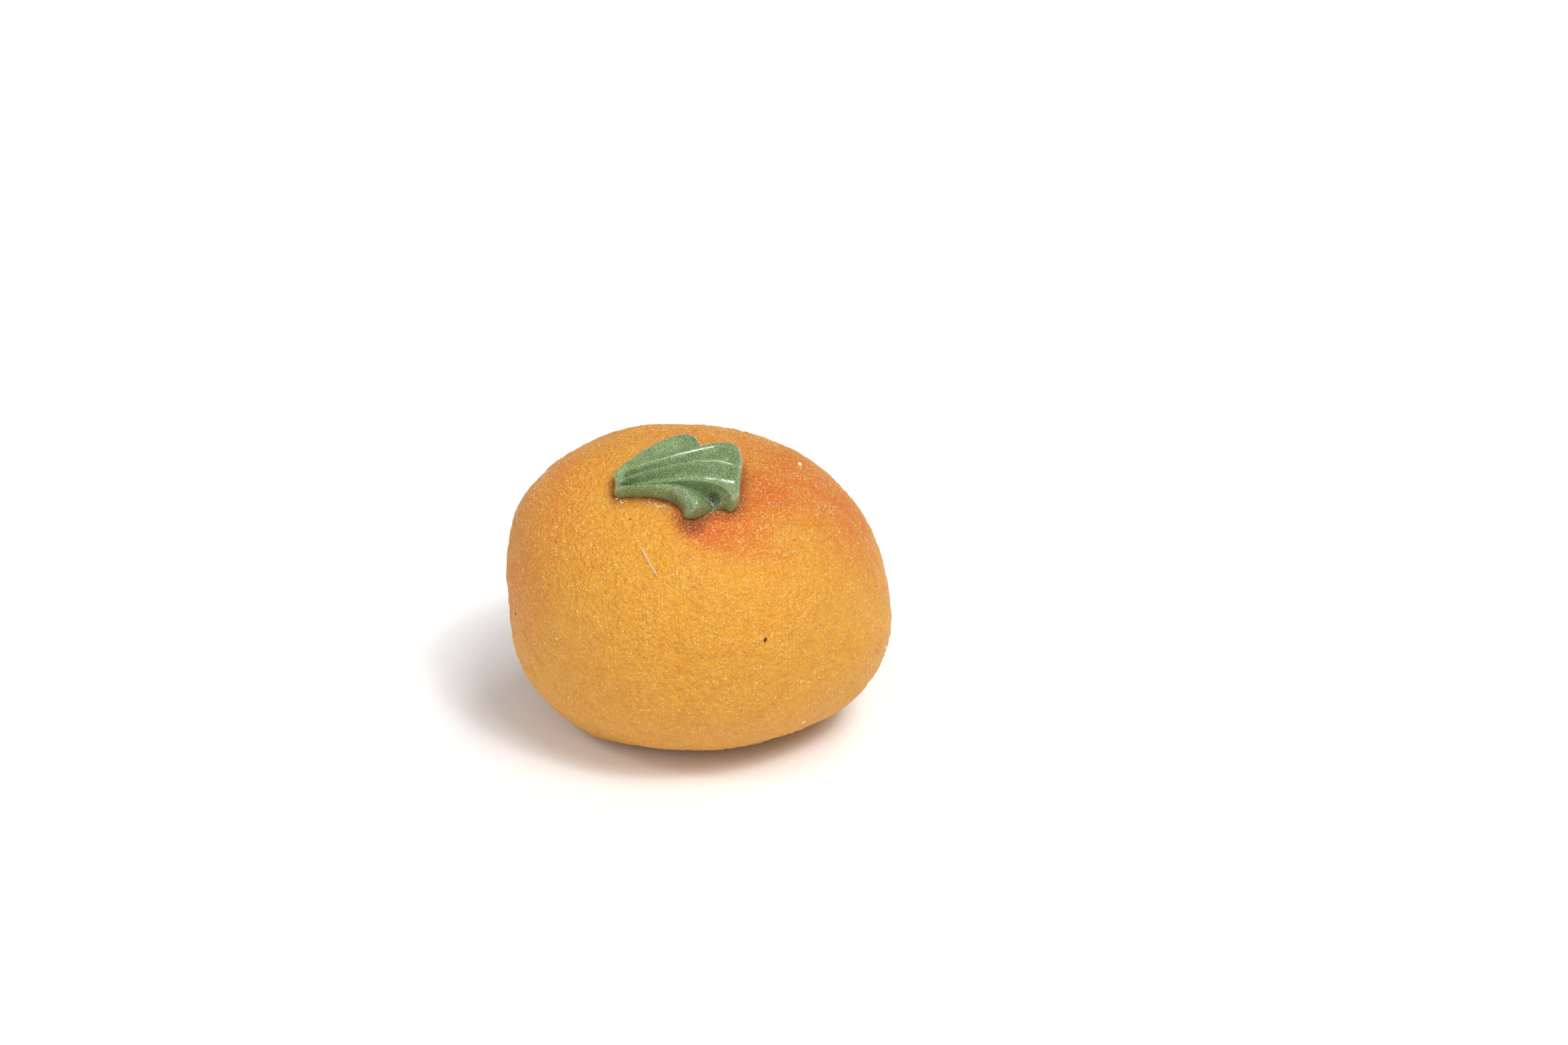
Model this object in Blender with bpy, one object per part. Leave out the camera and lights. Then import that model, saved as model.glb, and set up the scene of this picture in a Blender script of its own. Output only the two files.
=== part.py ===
"""A round marzipan citrus fruit with a piped icing leaf, as two solids at real size.

Sizes are in millimetres and angles in degrees, and MM turns them into Blender's metres.
The fruit stands on z = 0 with the middle of its outline over the origin. Its front is the -Y side,
so a heading of 0 faces the front and a heading of 90 is its right.
"""
import math

import bmesh
import bpy
from mathutils import Vector, noise

MM = 0.001

# Hand-rolled ball of marzipan: half sizes measured from its middle
HALF_WIDTH = 15.0
HALF_DEPTH = 15.4
RISE = 12.5
DROP = 11.8
SQUARENESS = 2.25
LEAN = -5.0
FOOT_DROP = 11.65
FOOT_SNAP = 0.03

# Places where the ball is fuller or hollower: heading, elevation, spread, height
BULGES = {
    "left shoulder": (-90.0, 40.0, 35.0, 2.4),
    "right shoulder": (80.0, 45.0, 35.0, -0.5),
    "right cheek": (80.0, -25.0, 35.0, 1.6),
    "left cheek": (-90.0, -35.0, 30.0, 1.6),
    "front left heel": (-52.0, -48.0, 14.0, 0.45),
    "settled front": (-27.0, -62.0, 11.0, -0.35),
    "back left crown": (-140.0, 55.0, 17.0, 0.35),
    "back left slope": (-112.0, 37.0, 12.0, -0.3),
    "back right crown": (129.0, 48.0, 14.0, -0.25),
    "hollow before the leaf": (4.0, 51.0, 9.0, -0.25),
}

# Soft unevenness left by the hands: waves over the ball, height
LUMPS = ((2.4, 0.14), (5.0, 0.07))

# Fold where the soft ball has settled: heading, elevation, half width, half height, depth
SETTLED_FOLD = (-22.0, -57.0, 20.0, 3.0, 0.16)

BODY_CELLS = 25

# Leaf piped with a star nozzle, from its blunt tip on the left to its fan on the right.
# A rib line runs from a start on the tip, and its heading, 0 towards +X, turns late in its reach.
# name: start x, start y, first heading, last heading, lateness, reach, tip height, fan height, crease
LEAF_LINES = {
    "back foot": (-7.4, -3.9, 46.0, 30.0, 1.0, 9.0, 0.0, 0.0, 0.6),
    "back crest": (-6.9, -4.6, 36.0, 31.0, 3.0, 8.8, 1.2, 2.1, 0.5),
    "back groove": (-6.0, -4.9, 21.0, 37.0, 1.0, 8.1, 1.1, 1.0, 0.0),
    "upper crest": (-5.6, -4.9, 14.0, 34.0, 1.0, 9.9, 1.6, 2.5, 0.5),
    "upper groove": (-5.6, -5.2, 13.0, 12.0, 1.0, 9.5, 1.2, 1.3, 0.0),
    "middle crest": (-5.7, -5.4, 13.0, -35.0, 4.0, 9.4, 1.5, 2.4, 0.5),
    "flank": (-5.8, -5.7, 8.0, -16.0, 1.0, 9.8, 1.3, 1.8, 0.0),
    "lobe crest": (-5.8, -5.9, -1.0, -95.0, 5.0, 9.6, 1.2, 2.2, 0.3),
    "deep groove": (-5.8, -6.0, 0.0, -115.0, 8.0, 8.2, 1.1, 0.0, 0.3),
    "front crest": (-6.0, -5.9, -6.0, -150.0, 4.0, 8.1, 1.2, 1.9, 0.2),
    "front foot": (-7.4, -6.1, -2.0, -118.0, 4.0, 7.6, 0.0, 0.0, 0.5),
}
LEAF_STATIONS = (0.0, 0.13, 0.28, 0.44, 0.60, 0.75, 0.88, 0.96, 1.0)
LEAF_END_CREASES = (0.3, 0.6)
LEAF_GAP = 0.3
LEAF_SWELL_END = 0.8
LEAF_END_POWER = 10.0
LEAF_DETAIL = 2
ARC_STEPS = 24


def clear_scene():
    for obj in list(bpy.data.objects):
        bpy.data.objects.remove(obj)


def make_material(name, colour, roughness):
    material = bpy.data.materials.new(name)
    material.use_nodes = True
    shader = material.node_tree.nodes["Principled BSDF"]
    shader.inputs["Base Color"].default_value = (*colour, 1.0)
    shader.inputs["Roughness"].default_value = roughness
    shader.inputs["Metallic"].default_value = 0.0
    return material


def towards(heading, elevation):
    """The unit direction from the ball's middle."""
    turn = math.radians(heading)
    lift = math.radians(elevation)
    return Vector((math.sin(turn) * math.cos(lift), -math.cos(turn) * math.cos(lift), math.sin(lift)))


def bulge(direction, heading, elevation, spread, height):
    apart = math.degrees(direction.angle(towards(heading, elevation)))
    return height * math.exp(-((apart / spread) ** 2))


def fold(direction):
    """A narrow level fold, deepest at its middle, that fades out at its ends."""
    heading, elevation, half_width, half_height, depth = SETTLED_FOLD
    across = math.degrees(math.atan2(direction.x, -direction.y)) - heading
    above = math.degrees(math.asin(direction.z)) - elevation
    return -depth * math.exp(-((across / half_width) ** 2) - (above / half_height) ** 2)


def ball_radius(direction):
    """How far the marzipan reaches from its middle in a direction."""
    lean = math.radians(LEAN)
    x = direction.x * math.cos(lean) - direction.z * math.sin(lean)
    z = direction.x * math.sin(lean) + direction.z * math.cos(lean)
    flat = math.hypot(x / HALF_WIDTH, direction.y / HALF_DEPTH)
    tall = abs(z) / (RISE if z > 0.0 else DROP)
    radius = (flat ** SQUARENESS + tall ** SQUARENESS) ** (-1.0 / SQUARENESS)
    for place in BULGES.values():
        radius += bulge(direction, *place)
    for waves, height in LUMPS:
        radius += height * noise.noise(direction * waves)
    return radius + fold(direction)


def cube_directions(cells):
    """A cube's faces cut into equal-angle cells and blown up into a sphere of radius 1."""
    mesh = bmesh.new()
    bmesh.ops.create_cube(mesh, size=2.0)
    bmesh.ops.subdivide_edges(mesh, edges=mesh.edges[:], cuts=cells - 1, use_grid_fill=True)
    for vertex in mesh.verts:
        spread = [math.tan(value * math.pi / 4.0) for value in vertex.co]
        vertex.co = Vector(spread).normalized()
    return mesh


def add_object(name, mesh_source, material):
    bmesh.ops.recalc_face_normals(mesh_source, faces=mesh_source.faces[:])
    mesh = bpy.data.meshes.new(name)
    mesh_source.to_mesh(mesh)
    mesh_source.free()
    mesh.shade_smooth()
    mesh.set_sharp_from_angle(angle=math.radians(60.0))
    mesh.materials.append(material)
    obj = bpy.data.objects.new(name, mesh)
    bpy.context.scene.collection.objects.link(obj)
    return obj


def make_body():
    """The ball, cut level where it rests. Returns it with the place of its middle."""
    ball = cube_directions(BODY_CELLS)
    for vertex in ball.verts:
        vertex.co *= ball_radius(vertex.co) * MM
    cut = bmesh.ops.bisect_plane(
        ball,
        geom=ball.verts[:] + ball.edges[:] + ball.faces[:],
        dist=FOOT_SNAP * MM,
        plane_co=(0.0, 0.0, -FOOT_DROP * MM),
        plane_no=(0.0, 0.0, -1.0),
        clear_outer=True,
    )
    rim = [item for item in cut["geom_cut"] if isinstance(item, bmesh.types.BMEdge)]
    bmesh.ops.contextual_create(ball, geom=rim)
    for vertex in ball.verts:
        if vertex.co.z < (FOOT_SNAP - FOOT_DROP) * MM:
            vertex.co.z = -FOOT_DROP * MM
    east_west = [vertex.co.x for vertex in ball.verts]
    north_south = [vertex.co.y for vertex in ball.verts]
    middle = Vector((
        -(min(east_west) + max(east_west)) / 2.0,
        -(min(north_south) + max(north_south)) / 2.0,
        FOOT_DROP * MM,
    ))
    bmesh.ops.translate(ball, verts=ball.verts[:], vec=middle)
    add_object("marzipan_body", ball, make_material("marzipan", (0.84, 0.42, 0.08), 0.55))
    return middle


def leaf_height(tip, fan, share):
    """A rib's height along its reach: it swells from tip to fan and drops steeply at the end."""
    swell = min(share / LEAF_SWELL_END, 1.0)
    swell = swell * swell * (3.0 - 2.0 * swell)
    return LEAF_GAP + (tip + (fan - tip) * swell) * math.sqrt(1.0 - share ** LEAF_END_POWER)


def leaf_point(line, share):
    """A point of a rib line in the leaf's flat plan, with its height over the marzipan."""
    x, y, first, last, lateness, reach, tip, fan, _ = line
    for step in range(ARC_STEPS):
        along = (step + 0.5) / ARC_STEPS * share
        turn = math.radians(first + (last - first) * along ** lateness)
        x += math.cos(turn) * reach * share / ARC_STEPS
        y += math.sin(turn) * reach * share / ARC_STEPS
    return Vector((x, y, leaf_height(tip, fan, share)))


def underside_points(ring):
    """Two points that carry the leaf's flat underside from its front foot to its back foot."""
    back, front = ring[0], ring[-1]
    return [front.lerp(back, share) for share in (0.35, 0.7)]


def leaf_cage():
    """The leaf's control cage in its flat plan, with its ribs creased."""
    cage = bmesh.new()
    creases = cage.edges.layers.float.new("crease_edge")
    rings = []
    for share in LEAF_STATIONS:
        ring = [leaf_point(line, share) for line in LEAF_LINES.values()]
        ring += underside_points(ring)
        rings.append([cage.verts.new(point) for point in ring])
    count = len(rings[0])
    for near, far in zip(rings, rings[1:]):
        for i in range(count):
            j = (i + 1) % count
            cage.faces.new((near[i], near[j], far[j], far[i]))
    cage.faces.new(rings[0])
    cage.faces.new(reversed(rings[-1]))
    for near, far in zip(rings, rings[1:]):
        for i, line in enumerate(LEAF_LINES.values()):
            cage.edges.get((near[i], far[i]))[creases] = line[-1]
    for ring, crease in zip((rings[0], rings[-1]), LEAF_END_CREASES):
        for i in range(count):
            cage.edges.get((ring[i], ring[(i + 1) % count]))[creases] = crease
    return cage


def make_leaf(middle):
    """The cage smoothed in its plan and then laid over the marzipan, just clear of it."""
    cage = leaf_cage()
    bmesh.ops.recalc_face_normals(cage, faces=cage.faces[:])
    flat = bpy.data.meshes.new("leaf_plan")
    cage.to_mesh(flat)
    cage.free()
    plan = bpy.data.objects.new("leaf_plan", flat)
    bpy.context.scene.collection.objects.link(plan)
    smooth = plan.modifiers.new("smooth", "SUBSURF")
    smooth.levels = LEAF_DETAIL
    smooth.render_levels = LEAF_DETAIL
    smoothed = plan.evaluated_get(bpy.context.evaluated_depsgraph_get()).to_mesh()
    leaf = bmesh.new()
    leaf.from_mesh(smoothed)
    bpy.data.objects.remove(plan)
    for vertex in leaf.verts:
        direction = Vector((vertex.co.x, vertex.co.y, RISE)).normalized()
        vertex.co = direction * (ball_radius(direction) + vertex.co.z) * MM + middle
    add_object("icing_leaf", leaf, make_material("icing", (0.27, 0.38, 0.18), 0.35))


clear_scene()
make_leaf(make_body())
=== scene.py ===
import math
import random

import bmesh
import bpy
from mathutils import Matrix, Vector, noise
from mathutils.bvhtree import BVHTree


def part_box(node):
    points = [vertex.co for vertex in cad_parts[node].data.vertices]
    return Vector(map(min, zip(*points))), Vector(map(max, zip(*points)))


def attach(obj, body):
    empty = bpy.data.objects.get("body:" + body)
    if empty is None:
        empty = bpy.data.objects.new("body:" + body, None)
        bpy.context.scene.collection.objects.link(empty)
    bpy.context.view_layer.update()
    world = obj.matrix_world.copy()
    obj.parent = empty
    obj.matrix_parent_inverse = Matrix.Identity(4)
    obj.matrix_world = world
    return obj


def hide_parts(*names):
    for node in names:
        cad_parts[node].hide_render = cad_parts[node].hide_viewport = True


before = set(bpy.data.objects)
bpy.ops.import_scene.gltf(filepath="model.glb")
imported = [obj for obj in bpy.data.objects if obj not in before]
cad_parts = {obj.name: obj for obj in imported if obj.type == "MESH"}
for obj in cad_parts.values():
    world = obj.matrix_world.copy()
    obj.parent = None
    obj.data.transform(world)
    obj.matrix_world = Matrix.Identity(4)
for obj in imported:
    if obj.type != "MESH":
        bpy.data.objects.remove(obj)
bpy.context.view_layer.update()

MM = 0.001

# View of the photograph: its frame, and the pixel where the ball's middle lies
FRAME_PX = (2352, 1568)
LENS = 100.0
SENSOR = 36.0
PITCH = 28.0
PX_PER_MM = 17.9
MIDDLE_PX = (1050.0, 885.0)

# Ball of marzipan, as the solid has it
HALF_WIDTH = 15.0
HALF_DEPTH = 15.4
RISE = 12.5
DROP = 11.8
SQUARENESS = 2.25
LEAN = -5.0
FOOT_DROP = 11.65
BULGES = {
    "left shoulder": (-90.0, 40.0, 35.0, 2.4),
    "right shoulder": (80.0, 45.0, 35.0, -0.5),
    "right cheek": (80.0, -25.0, 35.0, 1.6),
    "left cheek": (-90.0, -35.0, 30.0, 1.6),
    "front left heel": (-52.0, -48.0, 14.0, 0.45),
    "settled front": (-27.0, -62.0, 11.0, -0.35),
    "back left crown": (-140.0, 55.0, 17.0, 0.35),
    "back left slope": (-112.0, 37.0, 12.0, -0.3),
    "back right crown": (129.0, 48.0, 14.0, -0.25),
    "hollow before the leaf": (4.0, 51.0, 9.0, -0.25),
}
LUMPS = ((2.4, 0.14), (5.0, 0.07))
SETTLED_FOLD = (-22.0, -57.0, 20.0, 3.0, 0.16)

# Fine surface of the marzipan: cells on a cube face, waves per millimetre with their height,
# and patches where the grain is coarser: their waves, the mean share and its swing
BODY_CELLS = 128
GRAIN = ((0.8, 0.05), (1.9, 0.1), (3.3, 0.1))
GRAIN_PATCHES = (0.35, 0.6, 0.8)
CREASES = {
    # middle px, half length, half width, waves along and across, depth
    "under the blush": ((1195.0, 795.0), 7.0, 3.4, 0.2, 0.95, 0.24),
    "right of the leaf": ((1215.0, 715.0), 5.5, 3.0, 0.25, 0.9, 0.14),
    "lower front": ((1010.0, 1085.0), 7.0, 1.6, 0.14, 0.8, 0.08),
}
CREASE_END = 6.0
SMOOTH_FOOT = 0.05

# Leaf: the solid's ribs with sharper grooves, a finer skin and its foot pressed into the marzipan.
# name: start x, start y, first heading, last heading, lateness, reach, tip height, fan height,
# dip at the fan, lateness of the dip, crease
LEAF_LINES = {
    "back foot": (-7.0, -3.95, 46.0, 30.0, 1.0, 8.4, 0.0, 0.0, 0.0, 1.0, 0.6),
    "back crest": (-6.6, -4.6, 37.0, 31.0, 3.0, 8.25, 1.2, 2.1, 0.0, 1.0, 0.35),
    "back groove": (-6.0, -4.95, 21.0, 37.0, 1.0, 7.9, 1.0, 0.9, 0.0, 1.0, 0.0),
    "upper crest": (-5.6, -5.0, 14.5, 33.0, 1.0, 10.15, 2.3, 3.25, 0.0, 1.0, 0.1),
    "upper groove": (-5.6, -5.4, 15.0, 13.0, 1.0, 9.7, 0.5, 0.5, 0.0, 1.0, 0.0),
    "middle crest": (-5.7, -5.75, 16.5, -25.0, 4.0, 9.6, 2.3, 3.1, 0.0, 1.0, 0.0),
    "middle foot": (-5.8, -5.85, 13.5, -24.0, 3.0, 9.6, 0.7, 0.8, 0.0, 1.0, 0.0),
    "flank": (-5.8, -5.9, 7.0, -26.0, 1.3, 10.0, 0.8, 0.9, 0.0, 1.0, 0.0),
    "lobe crest": (-5.8, -6.0, -2.0, -88.0, 5.0, 9.8, 1.1, 2.4, 0.0, 1.0, 0.1),
    "lobe wall": (-5.8, -6.05, -2.0, -95.0, 8.0, 8.95, 1.1, 2.2, 0.2, 8.0, 0.3),
    "deep groove": (-5.8, -6.1, -2.0, -108.0, 7.0, 8.3, 1.0, 1.9, 2.15, 7.0, 0.1),
    "lobe back": (-5.9, -6.1, -2.5, -128.0, 5.0, 8.1, 1.1, 1.8, 0.9, 8.0, 0.0),
    "front crest": (-6.0, -6.15, -5.0, -150.0, 4.0, 8.1, 1.3, 1.95, 0.0, 1.0, 0.0),
    "front wall": (-6.8, -6.2, -6.0, -133.0, 4.0, 7.9, 0.75, 1.0, 0.0, 1.0, 0.0),
    "front foot": (-7.5, -6.1, -5.0, -112.0, 4.0, 7.6, 0.0, 0.0, 0.0, 1.0, 0.5),
}
LEAF_STATIONS = (0.0, 0.13, 0.28, 0.44, 0.60, 0.75, 0.88, 0.96, 1.0)
LEAF_END_CREASES = (0.1, 0.5)
LEAF_GAP = 0.3
LEAF_SWELL_END = 0.8
LEAF_END_POWER = 18.0
LEAF_DETAIL = 4
LEAF_SUNK = 0.12
LEAF_SINK_REACH = 0.22
LEAF_GRAIN = ((0.9, 0.04), (2.4, 0.012), (6.0, 0.003))
UNDERSIDE_SHARES = (0.35, 0.7)
ARC_STEPS = 24


def towards(heading, elevation):
    """The unit direction from the ball's middle."""
    turn = math.radians(heading)
    lift = math.radians(elevation)
    return Vector((math.sin(turn) * math.cos(lift), -math.cos(turn) * math.cos(lift), math.sin(lift)))


BULGE_PLACES = [(towards(place[0], place[1]), place[2], place[3]) for place in BULGES.values()]


def fold(direction):
    """The level fold where the soft ball has settled."""
    heading, elevation, half_width, half_height, depth = SETTLED_FOLD
    across = math.degrees(math.atan2(direction.x, -direction.y)) - heading
    above = math.degrees(math.asin(direction.z)) - elevation
    return -depth * math.exp(-((across / half_width) ** 2) - (above / half_height) ** 2)


def ball_radius(direction):
    """How far the marzipan reaches from its middle in a direction."""
    lean = math.radians(LEAN)
    x = direction.x * math.cos(lean) - direction.z * math.sin(lean)
    z = direction.x * math.sin(lean) + direction.z * math.cos(lean)
    flat = math.hypot(x / HALF_WIDTH, direction.y / HALF_DEPTH)
    tall = abs(z) / (RISE if z > 0.0 else DROP)
    radius = (flat ** SQUARENESS + tall ** SQUARENESS) ** (-1.0 / SQUARENESS)
    for middle, spread, height in BULGE_PLACES:
        radius += height * math.exp(-((math.degrees(direction.angle(middle)) / spread) ** 2))
    for waves, height in LUMPS:
        radius += height * noise.noise(direction * waves)
    return radius + fold(direction)


def cube_directions(cells):
    """A cube's faces cut into equal-angle cells and blown up into a sphere of radius 1."""
    mesh = bmesh.new()
    bmesh.ops.create_cube(mesh, size=2.0)
    bmesh.ops.subdivide_edges(mesh, edges=mesh.edges[:], cuts=cells - 1, use_grid_fill=True)
    for vertex in mesh.verts:
        spread = [math.tan(value * math.pi / 4.0) for value in vertex.co]
        vertex.co = Vector(spread).normalized()
    return mesh


# Camera

def camera_axes():
    pitch = math.radians(PITCH)
    right = Vector((1.0, 0.0, 0.0))
    up = Vector((0.0, math.sin(pitch), math.cos(pitch)))
    forward = Vector((0.0, math.cos(pitch), -math.sin(pitch)))
    return right, up, forward


def camera_place(middle):
    """The camera's place, in millimetres, that puts the ball's middle on its pixel."""
    right, up, forward = camera_axes()
    away = LENS / SENSOR * FRAME_PX[0] / PX_PER_MM
    aside = (MIDDLE_PX[0] - FRAME_PX[0] / 2) / PX_PER_MM
    below = (MIDDLE_PX[1] - FRAME_PX[1] / 2) / PX_PER_MM
    return middle - right * aside + up * below - forward * away


def add_camera(middle):
    right, up, forward = camera_axes()
    data = bpy.data.cameras.new("camera")
    data.lens = LENS
    data.sensor_width = SENSOR
    data.clip_start = 0.01
    camera = bpy.data.objects.new("camera", data)
    turn = Matrix((right, up, -forward)).transposed().to_4x4()
    camera.matrix_world = Matrix.Translation(camera_place(middle) * MM) @ turn
    bpy.context.scene.collection.objects.link(camera)
    bpy.context.scene.camera = camera


def seen_at(pixel, skin, middle):
    """The place and normal, in millimetres, where a pixel's ray meets the skin."""
    right, up, forward = camera_axes()
    per_px = SENSOR / LENS / FRAME_PX[0]
    ray = forward + right * ((pixel[0] - FRAME_PX[0] / 2) * per_px)
    ray -= up * ((pixel[1] - FRAME_PX[1] / 2) * per_px)
    place, normal, _, _ = skin.ray_cast(camera_place(middle), ray.normalized())
    return place, normal


# Pieces

def add_piece(name, mesh_source, material):
    """A piece in the row's frame from a mesh in millimetres."""
    bmesh.ops.scale(mesh_source, vec=(MM, MM, MM), verts=mesh_source.verts[:])
    mesh = bpy.data.meshes.new(name)
    mesh_source.to_mesh(mesh)
    mesh_source.free()
    mesh.shade_smooth()
    mesh.materials.append(material)
    piece = bpy.data.objects.new(name, mesh)
    bpy.context.scene.collection.objects.link(piece)
    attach(piece, "root")
    return piece


def smooth_ball():
    """The ball's form without its grain, about its own middle."""
    ball = cube_directions(BODY_CELLS)
    for vertex in ball.verts:
        vertex.co *= ball_radius(vertex.co)
        vertex.co.z = max(vertex.co.z, -FOOT_DROP)
    return ball


def middle_of_ball(ball):
    """Where the ball's middle stands, so that it fills its solid's box."""
    low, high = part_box("marzipan_body")
    xs = [vertex.co.x for vertex in ball.verts]
    ys = [vertex.co.y for vertex in ball.verts]
    return Vector((
        (low.x + high.x) / MM / 2.0 - (min(xs) + max(xs)) / 2.0,
        (low.y + high.y) / MM / 2.0 - (min(ys) + max(ys)) / 2.0,
        FOOT_DROP,
    ))


def crease_height(point, crease, place, normal):
    """Shallow level wrinkles, strongest at their middle."""
    _, half_length, half_width, along, across, depth = crease
    level = Vector((1.0, 0.0, 0.0))
    down = normal.cross(level).normalized()
    offset = point - place
    fade = (offset.dot(level) / half_length) ** 2 + (offset.dot(down) / half_width) ** 2
    if fade > CREASE_END:
        return 0.0
    wave = noise.noise(Vector((point.x * along, point.y * across, point.z * across)))
    return depth * math.exp(-fade) * wave


def roughen(ball, skin, middle):
    """Adds wrinkles and grain to the ball, except on its flat foot."""
    creases = [(crease, *seen_at(crease[0], skin, middle)) for crease in CREASES.values()]
    ball.normal_update()
    patch_waves, mean, swing = GRAIN_PATCHES
    moves = []
    for vertex in ball.verts:
        point = vertex.co
        height = sum(crease_height(point, *crease) for crease in creases)
        coarse = mean + swing * noise.noise(point * patch_waves)
        for waves, size in GRAIN:
            height += size * coarse * noise.noise(point * waves)
        moves.append(vertex.normal * height)
    for vertex, move in zip(ball.verts, moves):
        if vertex.co.z > SMOOTH_FOOT:
            vertex.co += move


def shade_by_leaf(ball, leaf_skin):
    """Marks how near the leaf's edge each place of the ball lies, for the shade painted round the
    leaf's foot.
    """
    near_leaf = ball.verts.layers.float.new("near_leaf")
    for vertex in ball.verts:
        _, _, _, apart = leaf_skin.find_nearest(vertex.co, LEAF_SHADE_END * LEAF_SHADE_REACH)
        if apart is not None:
            vertex[near_leaf] = math.exp(-((apart / LEAF_SHADE_REACH) ** 2))


def leaf_height(tip, fan, dip, late, share):
    """A rib's height: it swells from tip to fan, may dip late, and drops at the end."""
    swell = min(share / LEAF_SWELL_END, 1.0)
    swell = swell * swell * (3.0 - 2.0 * swell)
    height = tip + (fan - tip) * swell - dip * swell ** late
    return LEAF_GAP + height * math.sqrt(1.0 - share ** LEAF_END_POWER)


def leaf_point(line, share):
    """A point of a rib line in the leaf's flat plan, with its height over the marzipan."""
    x, y, first, last, lateness, reach, *heights, _ = line
    for step in range(ARC_STEPS):
        along = (step + 0.5) / ARC_STEPS * share
        turn = math.radians(first + (last - first) * along ** lateness)
        x += math.cos(turn) * reach * share / ARC_STEPS
        y += math.sin(turn) * reach * share / ARC_STEPS
    return Vector((x, y, leaf_height(*heights, share)))


def leaf_cage():
    """The leaf's control cage in its flat plan, with its ribs creased."""
    cage = bmesh.new()
    creases = cage.edges.layers.float.new("crease_edge")
    rings = []
    for share in LEAF_STATIONS:
        ring = [leaf_point(line, share) for line in LEAF_LINES.values()]
        ring += [ring[-1].lerp(ring[0], part) for part in UNDERSIDE_SHARES]
        rings.append([cage.verts.new(point) for point in ring])
    count = len(rings[0])
    for near, far in zip(rings, rings[1:]):
        for i in range(count):
            j = (i + 1) % count
            cage.faces.new((near[i], near[j], far[j], far[i]))
    cage.faces.new(rings[0])
    cage.faces.new(reversed(rings[-1]))
    for near, far in zip(rings, rings[1:]):
        for i, line in enumerate(LEAF_LINES.values()):
            cage.edges.get((near[i], far[i]))[creases] = line[-1]
    for ring, crease in zip((rings[0], rings[-1]), LEAF_END_CREASES):
        for i in range(count):
            cage.edges.get((ring[i], ring[(i + 1) % count]))[creases] = crease
    bmesh.ops.recalc_face_normals(cage, faces=cage.faces[:])
    return cage


def smooth_leaf():
    """The cage subdivided in its flat plan."""
    cage = leaf_cage()
    flat = bpy.data.meshes.new("leaf_plan")
    cage.to_mesh(flat)
    cage.free()
    plan = bpy.data.objects.new("leaf_plan", flat)
    bpy.context.scene.collection.objects.link(plan)
    smooth = plan.modifiers.new("smooth", "SUBSURF")
    smooth.levels = LEAF_DETAIL
    smooth.render_levels = LEAF_DETAIL
    leaf = bmesh.new()
    leaf.from_mesh(plan.evaluated_get(bpy.context.evaluated_depsgraph_get()).to_mesh())
    bpy.data.objects.remove(plan)
    return leaf


def lay_leaf(leaf, middle):
    """Lays the leaf over the marzipan, with its foot pressed in, and grains its skin."""
    for vertex in leaf.verts:
        x, y, height = vertex.co
        height -= (LEAF_GAP + LEAF_SUNK) * math.exp(-max(height - LEAF_GAP, 0.0) / LEAF_SINK_REACH)
        direction = Vector((x, y, RISE)).normalized()
        vertex.co = direction * (ball_radius(direction) + height) + middle
    leaf.normal_update()
    for vertex in leaf.verts:
        for waves, size in LEAF_GRAIN:
            vertex.co += vertex.normal * size * noise.noise(vertex.co * waves)


# Materials

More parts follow.
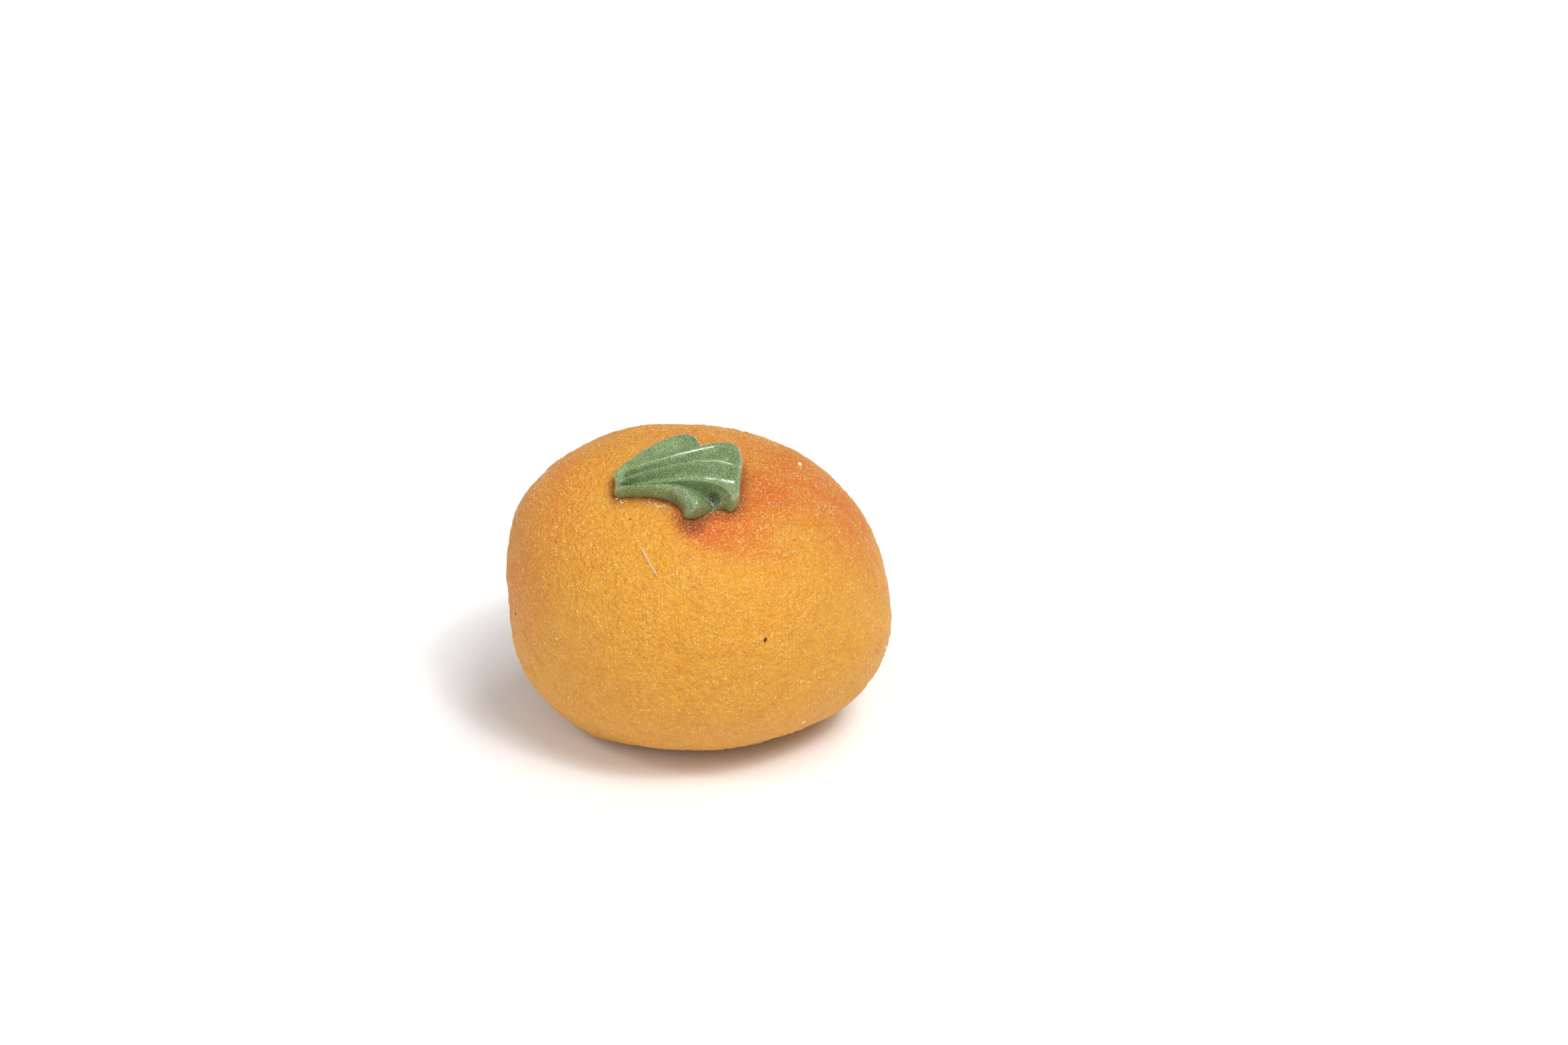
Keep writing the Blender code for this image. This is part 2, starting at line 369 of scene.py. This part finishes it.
class Nodes:
    """A short way to write a material's nodes."""

    def __init__(self, name):
        self.material = bpy.data.materials.new(name)
        self.material.use_nodes = True
        self.tree = self.material.node_tree
        self.shader = self.tree.nodes["Principled BSDF"]
        coordinates = self.tree.nodes.new("ShaderNodeTexCoord")
        self.place = self.vector("SCALE", coordinates.outputs["Object"], scale=1.0 / MM)

    def put(self, socket, value):
        if isinstance(value, bpy.types.NodeSocket):
            self.tree.links.new(value, socket)
        elif isinstance(value, (tuple, Vector)) and len(socket.default_value) == 4:
            socket.default_value = (*value, 1.0)
        else:
            socket.default_value = value

    def vector(self, operation, first, second=None, scale=None):
        node = self.tree.nodes.new("ShaderNodeVectorMath")
        node.operation = operation
        self.put(node.inputs[0], first)
        if second is not None:
            self.put(node.inputs[1], second)
        if scale is not None:
            self.put(node.inputs["Scale"], scale)
        return node.outputs["Value" if operation == "DISTANCE" else "Vector"]

    def math(self, operation, first, second):
        node = self.tree.nodes.new("ShaderNodeMath")
        node.operation = operation
        self.put(node.inputs[0], first)
        self.put(node.inputs[1], second)
        return node.outputs[0]

    def ramp(self, value, low, high, to_low=0.0, to_high=1.0):
        """A smooth step of value from low to high."""
        node = self.tree.nodes.new("ShaderNodeMapRange")
        node.interpolation_type = "SMOOTHSTEP"
        for name, number in zip(("Value", "From Min", "From Max", "To Min", "To Max"),
                                (value, low, high, to_low, to_high)):
            self.put(node.inputs[name], number)
        return node.outputs["Result"]

    def noise(self, waves, detail, stretch=None):
        where = self.place if stretch is None else self.vector("MULTIPLY", self.place, stretch)
        node = self.tree.nodes.new("ShaderNodeTexNoise")
        self.put(node.inputs["Vector"], where)
        node.inputs["Scale"].default_value = waves
        node.inputs["Detail"].default_value = detail
        return node.outputs["Fac"]

    def cells(self, waves):
        """Distance from scattered points, and a random number for each of them."""
        node = self.tree.nodes.new("ShaderNodeTexVoronoi")
        self.put(node.inputs["Vector"], self.place)
        node.inputs["Scale"].default_value = waves
        split = self.tree.nodes.new("ShaderNodeSeparateColor")
        self.put(split.inputs[0], node.outputs["Color"])
        return node.outputs["Distance"], split.outputs[0]

    def attribute(self, name):
        node = self.tree.nodes.new("ShaderNodeAttribute")
        node.attribute_name = name
        return node.outputs["Fac"]

    def mix(self, share, first, second):
        node = self.tree.nodes.new("ShaderNodeMix")
        node.data_type = "RGBA"
        self.put(node.inputs[0], share)
        self.put(node.inputs[6], first)
        self.put(node.inputs[7], second)
        return node.outputs[2]

    def distance_from(self, pixel, skin, middle):
        """Millimetres from the place on a skin that a pixel shows."""
        place, _ = seen_at(pixel, skin, middle)
        return self.vector("DISTANCE", self.place, place)

    def set(self, numbers):
        """Numbers that are the same all over, on the shader's own sockets."""
        for name, number in numbers.items():
            self.shader.inputs[name].default_value = number

    def bump(self, height, depth):
        node = self.tree.nodes.new("ShaderNodeBump")
        node.inputs["Distance"].default_value = depth * MM
        self.put(node.inputs["Height"], height)
        self.put(self.shader.inputs["Normal"], node.outputs["Normal"])


def colour(red, green, blue):
    """A colour as the eye reads it on a screen, 0 to 255, in Blender's linear numbers."""
    parts = [value / 255.0 for value in (red, green, blue)]
    return tuple(v / 12.92 if v <= 0.04045 else ((v + 0.055) / 1.055) ** 2.4 for v in parts)


# Blush sprayed on the crown: pixel, reach, strength
BLUSH = {
    "under the lobes": ((1046.0, 783.0), 3.4, 1.0),
    "below the lobes": ((1092.0, 793.0), 4.8, 0.9),
    "beside the lobes": ((1140.0, 745.0), 5.0, 0.55),
    "upper right": ((1190.0, 700.0), 12.0, 0.75),
    "right shoulder": ((1290.0, 800.0), 8.0, 0.4),
    "top": ((1110.0, 645.0), 8.0, 0.6),
    "behind the leaf": ((1010.0, 645.0), 6.0, 0.35),
    "lower streak": ((1160.0, 832.0), 3.6, 0.3),
    "top left": ((840.0, 700.0), 9.0, 0.45),
    "upper left": ((850.0, 800.0), 6.0, 0.2),
    "left flank": ((770.0, 870.0), 9.0, 0.45),
}
BLUSH_STREAKS = (0.78, 1.06)
STREAK_STRETCH = (0.5, 1.4, 1.4)

# Painted shade under the lobes, a dark red-brown over the blush: pixel, reach, core, strength
LOBE_SHADE = ((1038.0, 782.0), 2.0, 0.3, 0.95)

# Fine sugar grain shows strongest round the crown: partly real sugar, partly painted glints where the
# light falls from above: pixel, reach, core, least share
SUGAR_AND_GLINTS = ((1050.0, 700.0), 20.0, 8.0, 0.65)
FINE_WAVES = 7.0
PORE_SHARE = 0.46
DUST_SHARE = 0.52

# Specks of sugar: waves of the two sizes, strength, and roughness between them and on them
SPECK_WAVES = (3.4, 5.2)
SPECK_SHARE = 0.8
SPECK_ROUGHNESS = (0.6, 0.3)

# Bumps of the marzipan in millimetres, with the shares of its grain, lumps and specks
BUMP_DEPTH = 0.105
BUMP_SHARES = (0.7, 0.8, 0.4)

# How far the shade painted round the leaf's foot reaches on the marzipan, the number of reaches where
# it ends, and its strength
LEAF_SHADE_REACH = 0.65
LEAF_SHADE_END = 3.0
LEAF_SHADE_SHARE = 0.85

# Colours of the marzipan
PASTE = (208, 142, 37)
PALE_PASTE = (213, 149, 40)
DARK_SPOT = (186, 106, 26)
BLUSH_TINT = (202, 88, 33)
# Painted shade under the lobes, a dark red-brown
LOBE_SHADE_TINT = (104, 34, 12)
PORE = (184, 98, 27)
SUGAR_DUST = (240, 196, 100)
SUGAR_SPECK = (250, 208, 124)
# Painted shade round the leaf's foot, where the leaf shades the marzipan
LEAF_SHADE_TINT = (150, 76, 28)

MARZIPAN_SHADER = {
    "Specular IOR Level": 0.35,
    "Subsurface Weight": 0.2,
    "Subsurface Radius": (1.0, 0.45, 0.15),
    "Subsurface Scale": 0.8 * MM,
    "Sheen Weight": 0.15,
    "Sheen Roughness": 0.5,
    "Sheen Tint": (1.0, 0.72, 0.5, 1.0),
}


def blush_share(nodes, skin, middle):
    """How strongly the blush covers each place, broken up by faint streaks."""
    blush = None
    for pixel, reach, strength in BLUSH.values():
        spot = nodes.ramp(nodes.distance_from(pixel, skin, middle), reach, 0.0, 0.0, strength)
        blush = spot if blush is None else nodes.math("ADD", blush, spot)
    streaks = nodes.ramp(nodes.noise(0.7, 3.0, STREAK_STRETCH), 0.3, 0.7, *BLUSH_STREAKS)
    return nodes.math("MULTIPLY", nodes.math("MINIMUM", blush, 1.0), streaks)


# Painted shade under the leaf's lobes
def lobe_shade_share(nodes, skin, middle):
    pixel, reach, core, strength = LOBE_SHADE
    return nodes.ramp(nodes.distance_from(pixel, skin, middle), reach, core, 0.0, strength)


def sugar_and_glint_share(nodes, skin, middle):
    pixel, reach, core, least = SUGAR_AND_GLINTS
    return nodes.ramp(nodes.distance_from(pixel, skin, middle), reach, core, least, 1.0)


def speck_share(nodes):
    """Specks of two sizes, thicker in clusters."""
    speck = None
    for waves in SPECK_WAVES:
        near, chance = nodes.cells(waves)
        spot = nodes.math("MULTIPLY", nodes.ramp(near, 0.42, 0.15), nodes.ramp(chance, 0.45, 0.9))
        speck = spot if speck is None else nodes.math("MAXIMUM", speck, spot)
    clusters = nodes.ramp(nodes.noise(0.7, 2.0), 0.42, 0.62, 0.2, 1.0)
    return nodes.math("MULTIPLY", speck, clusters)


def marzipan_material(skin, middle):
    nodes = Nodes("marzipan")
    patches = nodes.ramp(nodes.noise(0.9, 2.0), 0.35, 0.65)
    base = nodes.mix(patches, colour(*PASTE), colour(*PALE_PASTE))
    spots = nodes.ramp(nodes.noise(0.9, 1.0), 0.42, 0.25, 0.0, 0.12)
    base = nodes.mix(spots, base, colour(*DARK_SPOT))
    base = nodes.mix(blush_share(nodes, skin, middle), base, colour(*BLUSH_TINT))
    # Painted shade under the leaf's lobes, over the blush
    base = nodes.mix(lobe_shade_share(nodes, skin, middle), base, colour(*LOBE_SHADE_TINT))
    # Paler dust and darker pores strongest round the crown: real sugar grain with painted glints from
    # the light above
    sugar_and_glints = sugar_and_glint_share(nodes, skin, middle)
    fine = nodes.noise(FINE_WAVES, 1.5)
    darker = nodes.math("MULTIPLY", nodes.ramp(fine, 0.5, 0.25, 0.0, PORE_SHARE), sugar_and_glints)
    paler = nodes.math("MULTIPLY", nodes.ramp(fine, 0.5, 0.75, 0.0, DUST_SHARE), sugar_and_glints)
    base = nodes.mix(darker, base, colour(*PORE))
    base = nodes.mix(paler, base, colour(*SUGAR_DUST))
    speck = speck_share(nodes)
    base = nodes.mix(nodes.math("MULTIPLY", speck, SPECK_SHARE), base, colour(*SUGAR_SPECK))
    # Painted shade round the leaf's foot: darker red-brown near its edge
    leaf_shade = nodes.math("MULTIPLY", nodes.attribute("near_leaf"), LEAF_SHADE_SHARE)
    base = nodes.mix(leaf_shade, base, colour(*LEAF_SHADE_TINT))
    nodes.put(nodes.shader.inputs["Base Color"], base)
    nodes.put(nodes.shader.inputs["Roughness"], nodes.ramp(speck, 0.0, 1.0, *SPECK_ROUGHNESS))
    nodes.set(MARZIPAN_SHADER)
    grain_share, lump_share, speck_part = BUMP_SHARES
    lumps = nodes.math("MULTIPLY", nodes.ramp(nodes.noise(2.4, 1.0), 0.3, 0.7), lump_share)
    height = nodes.math("ADD", nodes.math("MULTIPLY", nodes.noise(5.0, 2.0), grain_share), lumps)
    height = nodes.math("ADD", height, nodes.math("MULTIPLY", speck, speck_part))
    nodes.bump(height, BUMP_DEPTH)
    return nodes.material


# Painted light and shade on the icing's one green: paler where the tip, flank and knob face the light,
# darker in the notch and on the shaded walls: pixel, reach, share, colour
ICING_LIGHT_AND_SHADE = {
    # Painted light on the tip's lit top
    "pale tip": ((932.0, 708.0), 1.3, 0.7, (150, 170, 104)),
    # Painted light on the broad flank below the middle crest
    "pale band": ((1040.0, 706.0), 3.0, 0.35, (150, 172, 124)),
    # Painted shade on the shaded wall at the bend
    "wall at the bend": ((1010.0, 747.0), 0.9, 0.6, (58, 66, 36)),
    # Painted light on the knob, round its highlight
    "pale lobe": ((1100.0, 735.0), 0.9, 0.4, (150, 168, 110)),
    # Painted shade in the deep notch
    "notch": ((1070.0, 747.0), 1.1, 0.95, (20, 28, 12)),
    # Painted shade below the notch
    "below the notch": ((1068.0, 760.0), 0.9, 0.6, (50, 64, 34)),
    # Painted shade along the notch's upper lip
    "above the notch": ((1058.0, 733.0), 1.0, 0.45, (72, 94, 54)),
    # Painted shade on the lobe's lower left side
    "side of the lobe": ((1082.0, 757.0), 0.8, 0.5, (76, 96, 56)),
    # Painted shade on the front wall under the front crest
    "front wall": ((975.0, 746.0), 1.6, 0.4, (84, 104, 64)),
    # Painted shade on the lower wall at the bend
    "lower wall": ((1020.0, 758.0), 1.2, 0.55, (60, 70, 38)),
}

# Colours of the icing, its fine grain, roughness from pores to dust, and bumps in millimetres
ICING = (108, 131, 84)
PALE_ICING = (123, 146, 98)
ICING_PORE = (58, 78, 40)
ICING_DUST = (174, 188, 146)
ICING_WAVES = 8.5
ICING_FINE_SHARE = 0.65
ICING_ROUGHNESS = (0.3, 0.17)
ICING_BUMP = 0.012

ICING_SHADER = {
    "Coat Weight": 0.5,
    "Coat Roughness": 0.14,
    "Subsurface Weight": 0.1,
    "Subsurface Radius": (0.5, 0.9, 0.4),
    "Subsurface Scale": 0.5 * MM,
}


def icing_material(leaf_skin, middle):
    nodes = Nodes("icing")
    patches = nodes.ramp(nodes.noise(0.5, 2.0), 0.35, 0.65)
    base = nodes.mix(patches, colour(*ICING), colour(*PALE_ICING))
    # Painted light and shade on the icing, one spot after another
    for pixel, reach, share, tint in ICING_LIGHT_AND_SHADE.values():
        spot = nodes.ramp(nodes.distance_from(pixel, leaf_skin, middle), reach, 0.0, 0.0, share)
        base = nodes.mix(spot, base, colour(*tint))
    fine = nodes.noise(ICING_WAVES, 1.0)
    pores = nodes.ramp(fine, 0.5, 0.28, 0.0, ICING_FINE_SHARE)
    base = nodes.mix(pores, base, colour(*ICING_PORE))
    dust = nodes.ramp(fine, 0.5, 0.72, 0.0, ICING_FINE_SHARE)
    base = nodes.mix(dust, base, colour(*ICING_DUST))
    nodes.put(nodes.shader.inputs["Base Color"], base)
    nodes.put(nodes.shader.inputs["Roughness"], nodes.ramp(fine, 0.4, 0.6, *ICING_ROUGHNESS))
    nodes.set(ICING_SHADER)
    nodes.bump(nodes.noise(5.0, 2.0), ICING_BUMP)
    return nodes.material


def plain_material(name, tint, roughness, see_through=0.0):
    nodes = Nodes(name)
    shade = nodes.ramp(nodes.noise(2.0, 2.0), 0.35, 0.65)
    pale = colour(*tint)
    dark = tuple(0.8 * part for part in pale)
    nodes.put(nodes.shader.inputs["Base Color"], nodes.mix(shade, dark, pale))
    nodes.set({
        "Roughness": roughness,
        "Specular IOR Level": 0.35,
        "Subsurface Weight": see_through,
        "Subsurface Radius": (1.0, 0.8, 0.5),
        "Subsurface Scale": 0.2 * MM,
    })
    return nodes.material


# Loose grains: how many, half widths, most that they are longer, how finely they cluster,
# and the least height over the floor
GRAIN_COUNT = 6500
GRAIN_HALF = (0.026, 0.05)
GRAIN_LONGEST = 2.8
GRAIN_CLUMPS = 7.0
LOWEST_GRAIN = 0.4

# No grain lies within this height under the leaf
LEAF_OVERHANG = 4.0

# Shape of a bit: height as a share of its width, how deep it sits, how uneven its corners are
FLATNESS = 0.8
SUNK = 0.45
UNEVEN = (0.75, 1.1)

# Bits in a run: their sizes, how far they turn, and how far they stray in pixels
RUN_SIZES = (0.7, 1.2)
RUN_TURN = 12.0
SLIVER_STRAY_PX = 0.8
CRUMB_STRAY_PX = 3.0

# Flecks of almond skin at random: how many, their half widths, how much longer they may be
SMALL_FLECKS = 60
SMALL_FLECK_HALF = (0.03, 0.06)
SMALL_FLECK_LONGEST = 2.0

# Materials of the bits: name, colour, roughness, share of light that passes through
SUGAR = ("sugar", (250, 206, 120), 0.4, 0.3)
ALMOND = ("almond", (232, 184, 122), 0.6, 0.4)
CRUMB = ("crumb", (255, 232, 196), 0.4, 0.3)
ALMOND_SKIN = ("almond_skin", (84, 32, 10), 0.8)

# Grains and flecks that stand out: pixel, half length, half width, turn from level
BIG_GRAINS = {
    "white grain": ((1199.0, 697.0), 0.28, 0.22, 0.0),
    "long grain": ((1205.0, 1083.0), 0.34, 0.12, 60.0),
    "right edge grain": ((1328.0, 971.0), 0.16, 0.1, 80.0),
    "cluster grain left": ((1150.0, 702.0), 0.11, 0.08, 10.0),
    "cluster grain": ((1158.0, 700.0), 0.1, 0.08, 40.0),
    "cluster grain right": ((1166.0, 698.0), 0.08, 0.07, 0.0),
    "shoulder grain": ((1259.0, 799.0), 0.1, 0.08, 0.0),
    "right shoulder grain": ((1287.0, 815.0), 0.1, 0.08, 30.0),
    "crown grain": ((1226.0, 772.0), 0.09, 0.08, 0.0),
    "left grain": ((835.0, 958.0), 0.14, 0.09, 0.0),
}

# Runs of small bits: first and last pixel, bits, half length, half width
SLIVERS = {
    "sliver": ((964.0, 826.0), (985.0, 864.0), 16, 0.2, 0.17),
    "sliver head": ((961.0, 823.0), (969.0, 824.0), 3, 0.16, 0.12),
    "sliver below": ((1030.0, 842.0), (1046.0, 838.0), 4, 0.16, 0.06),
    "sliver right": ((1184.0, 828.0), (1204.0, 826.0), 5, 0.18, 0.06),
    "lower bit": ((1136.0, 999.0), (1140.0, 1001.0), 2, 0.16, 0.15),
}
CRUMBS = {
    "under the tip": ((927.0, 751.0), (938.0, 754.0), 8, 0.1, 0.06),
    "under the wall": ((963.0, 752.0), (984.0, 758.0), 12, 0.09, 0.05),
    "under the bend": ((984.0, 758.0), (1006.0, 761.0), 14, 0.09, 0.05),
    "under the lobe": ((1058.0, 777.0), (1068.0, 774.0), 5, 0.05, 0.03),
    "beside the lobe": ((1096.0, 771.0), (1110.0, 765.0), 6, 0.05, 0.03),
}
FLECKS = {
    "large fleck": ((1148.0, 960.0), 0.22, 0.15, 60.0),
    "left fleck": ((774.0, 921.0), 0.12, 0.09, 90.0),
}


def icosahedron():
    """The corners and faces of an icosahedron of radius 1."""
    ball = bmesh.new()
    bmesh.ops.create_icosphere(ball, subdivisions=1, radius=1.0)
    corners = [vertex.co.copy() for vertex in ball.verts]
    faces = [[vertex.index for vertex in face.verts] for face in ball.faces]
    ball.free()
    return corners, faces


def level_axes(normal, turn):
    """Two directions in the skin: the first turned from the level by an angle."""
    level = normal.cross(Vector((0.0, 0.0, 1.0)))
    if level.length < 0.001:
        level = Vector((1.0, 0.0, 0.0))
    level.normalize()
    if level.x < 0.0:
        level.negate()
    along = Matrix.Rotation(math.radians(turn), 3, normal) @ level
    return along, normal.cross(along)


class Bits:
    """Many small stones in one mesh."""

    def __init__(self, seed):
        self.corners, self.faces = icosahedron()
        self.verts = []
        self.polygons = []
        self.luck = random.Random(seed)

    def add(self, place, normal, half_length, half_width, turn):
        along, across = level_axes(normal, turn)
        first = len(self.verts)
        half_height = FLATNESS * half_width
        centre = place + normal * half_height * (1.0 - 2.0 * SUNK)
        for corner in self.corners:
            rough = self.luck.uniform(*UNEVEN)
            offset = along * (corner.x * half_length) + across * (corner.y * half_width)
            offset += normal * (corner.z * half_height)
            self.verts.append(centre + offset * rough)
        self.polygons += [[first + index for index in face] for face in self.faces]

    def piece(self, name, material, slot):
        mesh = bpy.data.meshes.new(name)
        mesh.from_pydata(self.verts, [], self.polygons)
        bits = bmesh.new()
        bits.from_mesh(mesh)
        bpy.data.meshes.remove(mesh)
        bmesh.ops.recalc_face_normals(bits, faces=bits.faces[:])
        return add_piece(name, bits, material)


def sugar_grains(skin, leaf_skin, middle):
    """Fine grains over the ball, thicker in patches and on its crown."""
    bits = Bits(seed=11)
    luck = bits.luck
    while len(bits.polygons) < GRAIN_COUNT * len(bits.faces):
        direction = Vector([luck.gauss(0.0, 1.0) for _ in range(3)]).normalized()
        high = 0.3 + 0.7 * max(direction.z, 0.0)
        if luck.random() > high * (0.45 + 1.1 * noise.noise(direction * GRAIN_CLUMPS)):
            continue
        place, normal, _, _ = skin.ray_cast(middle, direction)
        if place.z < LOWEST_GRAIN or leaf_skin.ray_cast(place, normal, LEAF_OVERHANG)[0] is not None:
            continue
        half = luck.uniform(*GRAIN_HALF)
        stretch = luck.uniform(1.0, GRAIN_LONGEST)
        bits.add(place, normal, half * stretch, half, luck.uniform(0.0, 180.0))
    return bits.piece("sugar_grains", plain_material(*SUGAR), "marzipan")


def run_of_bits(bits, run, skin, middle, stray_px):
    """Bits in a row between two pixels, each a little out of line."""
    start, end, count, half_length, half_width = run
    lean = -math.degrees(math.atan2(end[1] - start[1], end[0] - start[0]))
    luck = bits.luck
    for step in range(count):
        share = step / (count - 1)
        pixel = [a + (b - a) * share + luck.uniform(-stray_px, stray_px) for a, b in zip(start, end)]
        place, normal = seen_at(pixel, skin, middle)
        size = luck.uniform(*RUN_SIZES)
        turn = lean + luck.uniform(-RUN_TURN, RUN_TURN)
        bits.add(place, normal, half_length * size, half_width * size, turn)


def almond_slivers(skin, middle):
    """Pale slivers, each a short run of small bits."""
    bits = Bits(seed=23)
    for run in SLIVERS.values():
        run_of_bits(bits, run, skin, middle, SLIVER_STRAY_PX)
    return bits.piece("almond_slivers", plain_material(*ALMOND), "marzipan")


def sugar_crumbs(skin, middle):
    """Crumbs along the leaf's edge and the grains that stand out."""
    bits = Bits(seed=31)
    for run in CRUMBS.values():
        run_of_bits(bits, run, skin, middle, CRUMB_STRAY_PX)
    for pixel, half_length, half_width, turn in BIG_GRAINS.values():
        place, normal = seen_at(pixel, skin, middle)
        bits.add(place, normal, half_length, half_width, turn)
    return bits.piece("sugar_crumbs", plain_material(*CRUMB), "marzipan")


def almond_flecks(skin, middle):
    """The flecks that stand out, and small ones at random."""
    bits = Bits(seed=5)
    luck = bits.luck
    for pixel, half_length, half_width, turn in FLECKS.values():
        place, normal = seen_at(pixel, skin, middle)
        bits.add(place, normal, half_length, half_width, turn)
    for _ in range(SMALL_FLECKS):
        direction = Vector([luck.gauss(0.0, 1.0) for _ in range(3)]).normalized()
        place, normal, _, _ = skin.ray_cast(middle, direction)
        if place.z > LOWEST_GRAIN:
            half = luck.uniform(*SMALL_FLECK_HALF)
            stretch = luck.uniform(1.0, SMALL_FLECK_LONGEST)
            bits.add(place, normal, half * stretch, half, luck.uniform(0.0, 180.0))
    return bits.piece("almond_flecks", plain_material(*ALMOND_SKIN), "marzipan")


# Stage: the floor's half size in metres, how far it lies under the fruit, and its greys
FLOOR_HALF = 2.0
FLOOR_GAP = 0.01
FLOOR_GREYS = (0.94, 0.96)


def add_floor():
    floor = bmesh.new()
    bmesh.ops.create_grid(floor, x_segments=1, y_segments=1, size=FLOOR_HALF)
    mesh = bpy.data.meshes.new("floor")
    floor.to_mesh(mesh)
    floor.free()
    nodes = Nodes("floor")
    dark, pale = [(grey, grey, grey) for grey in FLOOR_GREYS]
    nodes.put(nodes.shader.inputs["Base Color"], nodes.mix(nodes.noise(0.02, 1.0), dark, pale))
    nodes.set({"Roughness": 0.8, "Specular IOR Level": 0.1})
    mesh.materials.append(nodes.material)
    obj = bpy.data.objects.new("floor", mesh)
    obj.location.z = -FLOOR_GAP * MM
    bpy.context.scene.collection.objects.link(obj)


# Soft lights: heading, elevation, width as an angle, strength, whether it shows in the gloss
LIGHTS = {
    "front right": (45.0, 57.0, 28.0, 1.8, True),
    "right glint": (45.0, 55.0, 8.0, 0.45, True),
    "back right": (118.0, 66.0, 24.0, 0.68, False),
    "front": (0.0, 40.0, 30.0, 0.32, False),
    "front left": (-50.0, 30.0, 55.0, 0.6, True),
    "left glint": (-60.0, 50.0, 8.0, 0.25, True),
}

# Strength of the sky as a light, and as the camera sees it past the floor
SKY = 0.26
BACKDROP = 0.88


def add_light(name, heading, elevation, width, strength, in_gloss):
    data = bpy.data.lights.new(name, "SUN")
    data.angle = math.radians(width)
    data.energy = strength
    lamp = bpy.data.objects.new(name, data)
    lamp.rotation_euler = (-towards(heading, elevation)).to_track_quat("-Z", "Y").to_euler()
    lamp.visible_glossy = in_gloss
    bpy.context.scene.collection.objects.link(lamp)


def add_studio():
    """The lights, and a sky that lights the fruit dimly and shows as a pale backdrop past the floor."""
    world = bpy.data.worlds.new("studio")
    world.use_nodes = True
    tree = world.node_tree
    sky = tree.nodes["Background"]
    sky.inputs["Color"].default_value = (1.0, 1.0, 1.0, 1.0)
    strength = tree.nodes.new("ShaderNodeMapRange")
    strength.inputs["To Min"].default_value = SKY
    strength.inputs["To Max"].default_value = BACKDROP
    paths = tree.nodes.new("ShaderNodeLightPath")
    tree.links.new(paths.outputs["Is Camera Ray"], strength.inputs["Value"])
    tree.links.new(strength.outputs["Result"], sky.inputs["Strength"])
    bpy.context.scene.world = world
    bpy.context.scene.view_settings.view_transform = "Standard"
    for name, light in LIGHTS.items():
        add_light(name, *light)


ball = smooth_ball()
middle = middle_of_ball(ball)
bmesh.ops.translate(ball, verts=ball.verts[:], vec=middle)
skin = BVHTree.FromBMesh(ball)
roughen(ball, skin, middle)
rough_skin = BVHTree.FromBMesh(ball)
add_camera(middle)

leaf = smooth_leaf()
lay_leaf(leaf, middle)
leaf_skin = BVHTree.FromBMesh(leaf)

shade_by_leaf(ball, leaf_skin)
sugar_grains(rough_skin, leaf_skin, middle)
almond_slivers(rough_skin, middle)
almond_flecks(rough_skin, middle)
sugar_crumbs(rough_skin, middle)
body = add_piece("marzipan_ball", ball, marzipan_material(skin, middle))
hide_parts("marzipan_body")
leaf_piece = add_piece("piped_leaf", leaf, icing_material(leaf_skin, middle))
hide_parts("icing_leaf")

add_floor()
add_studio()
